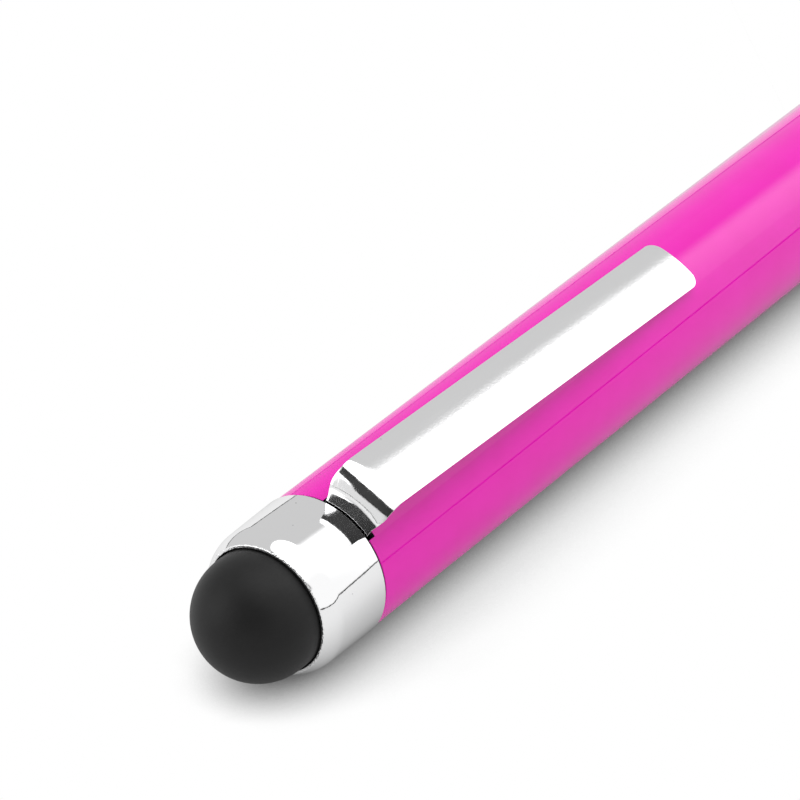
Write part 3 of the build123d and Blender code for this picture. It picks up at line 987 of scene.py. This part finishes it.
# %% Nose
NOSE_STEPS = 32
NOSE_LEAN = 0.2
NOSE_TIP_RADIUS = 1.7
NOSE_TIP_SLOPE = 0.2
NOSE_HOLE = 1.25
NOSE_SEAT_DEPTH = 9.0
SPRING_ROOM = 2.1
SPIGOT_GAP = 0.02
NOSE_SHOULDER_EDGE = 0.12
NOSE_FRONT_EDGE = 0.08
NOSE_HOLE_EDGE = 0.06
NOSE_BACK_EDGE = 0.06
nose_back, nose_end = ends("nose_cone")
nose_tip = nose_end - NOSE_TIP_SLOPE
nose_front_radius = NOSE_TIP_RADIUS - NOSE_TIP_SLOPE
spigot_radius = BARREL_BORE - SPIGOT_GAP
nose_line = closing_in((lower_end, BARREL_RADIUS), (nose_tip, NOSE_TIP_RADIUS), NOSE_LEAN, NOSE_STEPS)
nose_line += [
    (nose_end, nose_front_radius),
    (nose_end, NOSE_HOLE),
    (nose_end - NOSE_SEAT_DEPTH, NOSE_HOLE),
    (nose_end - NOSE_SEAT_DEPTH, SPRING_ROOM),
    (nose_back, SPRING_ROOM),
    (nose_back, spigot_radius),
    (lower_end, spigot_radius),
    (lower_end, BARREL_RADIUS),
]
nose = draw_line("chrome_nose", nose_line)
break_corner(nose, nose_tip, NOSE_TIP_RADIUS, NOSE_SHOULDER_EDGE)
break_corner(nose, nose_end, nose_front_radius, NOSE_FRONT_EDGE)
break_corner(nose, nose_end, NOSE_HOLE, NOSE_HOLE_EDGE)
break_corner(nose, lower_end, BARREL_RADIUS, NOSE_BACK_EDGE)
spin_round(nose)
dress(nose, "nose_cone", "lower", chrome)

# %% [markdown]
# ## The refill's point and its spring
# The metal point is turned: a tail that sits in the brass holder, a round shank and a cone that closes over
# the ball. A plain cone would do from afar, but one looks straight at it from the writing end, so we draw
# its bore and the ball's seat too. The seat's points lie on an arc a little larger than the ball.

# %% Writing point
INK_BORE = 0.4
TAIL_RADIUS = 0.8
SHANK_RADIUS = 1.15
CONE_LENGTH = 2.3
SEAT_GAP = 0.02
LIP_WALL = 0.06
SEAT_STEPS = 12
TAIL_EDGE = 0.06
SHANK_EDGE = 0.05
CONE_EDGE = 0.25
ball_start, ball_end = ends("writing_ball")
ball_middle = (ball_start + ball_end) / 2
seat_radius = (ball_end - ball_start) / 2 + SEAT_GAP
tail_start, lip_end = ends("writing_point")
cone_start = lip_end - CONE_LENGTH
holder_end = ends("point_holder")[1]
lip_turn = asin((lip_end - ball_middle) / seat_radius)
floor_turn = -acos(INK_BORE / seat_radius)
seat_line = []
for i in range(SEAT_STEPS + 1):
    turn = lip_turn + (floor_turn - lip_turn) * i / SEAT_STEPS
    seat_line.append((ball_middle + seat_radius * sin(turn), seat_radius * cos(turn)))
lip_edge = (lip_end, seat_line[0][1] + LIP_WALL)
point_line = [
    (tail_start, INK_BORE),
    (tail_start, TAIL_RADIUS),
    (holder_end, TAIL_RADIUS),
    (holder_end, SHANK_RADIUS),
    (cone_start, SHANK_RADIUS),
    lip_edge,
    *seat_line,
    (tail_start, INK_BORE),
]
point = draw_line("turned_point", point_line)
break_corner(point, tail_start, TAIL_RADIUS, TAIL_EDGE)
break_corner(point, holder_end, SHANK_RADIUS, SHANK_EDGE)
break_corner(point, cone_start, SHANK_RADIUS, CONE_EDGE)
spin_round(point)
dress(point, "writing_point", "refill", inner_finishes["writing_ball"])

# %% [markdown]
# The return spring is one wire. A curve with a round bevel could be one too, but it would first need all the
# points of a helix. A Screw modifier winds a small ring of points about the pen's axis instead. It climbs
# evenly, and a real spring has flat ends that seat squarely, so here we wind all its turns in one place.

# %% Wind the wire
WIRE = 0.35
COIL_RADIUS = 1.75
WIRE_SIDES = 16
TURN_STEPS = 48
CLIMBING_TURNS = 6
FLAT_TURNS = 0.5
all_turns = round(CLIMBING_TURNS + 2 * FLAT_TURNS)
bpy.ops.object.select_all(action="DESELECT")
bpy.ops.mesh.primitive_circle_add(vertices=WIRE_SIDES, radius=WIRE / 2 * MM)
spring = bpy.context.object
spring.name = "coiled_spring"
edit(spring)
bpy.ops.mesh.select_all(action="SELECT")
bpy.ops.transform.rotate(value=pi / 2, orient_axis="X", center_override=(0, 0, 0))
bpy.ops.transform.translate(value=(0, 0, COIL_RADIUS * MM))
bpy.ops.object.mode_set(mode="OBJECT")
bpy.ops.object.modifier_add(type="SCREW")
winding = spring.modifiers[-1]
winding.axis = "X"
winding.angle = 2 * pi
winding.iterations = all_turns
winding.steps = TURN_STEPS
winding.render_steps = TURN_STEPS
winding.screw_offset = 0.0
bpy.ops.object.modifier_apply(modifier=winding.name)
print("turns wound:", all_turns)

# %% [markdown]
# Now each turn moves along the axis to where the coiling machine would lay it: flat for half a turn at both
# ends, and climbing evenly between them, with a soft start and stop. Then the wire's two ends are closed.

# %% Lay the turns
SOFT_START = (-0.12, -0.08, -0.04, 0, 0.04, 0.08, 0.12)
spring_low, spring_high = ends("return_spring")
first_coil = spring_low + WIRE / 2
last_coil = spring_high - WIRE / 2


def climbed(turns):
    """The share of its length that the spring has climbed after some turns, with soft starts and stops."""
    nearby = [min(max(turns + shift - FLAT_TURNS, 0), CLIMBING_TURNS) for shift in SOFT_START]
    return sum(nearby) / len(nearby) / CLIMBING_TURNS


for wire_point in spring.data.vertices:
    turns = wire_point.index // WIRE_SIDES / TURN_STEPS
    wire_point.co.x += (first_coil + (last_coil - first_coil) * climbed(turns)) * MM
edit(spring)
bpy.ops.mesh.select_all(action="SELECT")
bpy.ops.mesh.fill_holes(sides=WIRE_SIDES)
bpy.ops.transform.translate(value=(JOINT, 0, AXIS_HEIGHT))
finish_mesh(spring)
dress(spring, "return_spring", "lower", inner_finishes["snap_ring"])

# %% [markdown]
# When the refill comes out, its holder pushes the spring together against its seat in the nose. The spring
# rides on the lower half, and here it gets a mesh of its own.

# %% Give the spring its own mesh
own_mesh(spring)
print("spring from", round(spring_low, 2), "to", round(spring_high, 2), "mm")
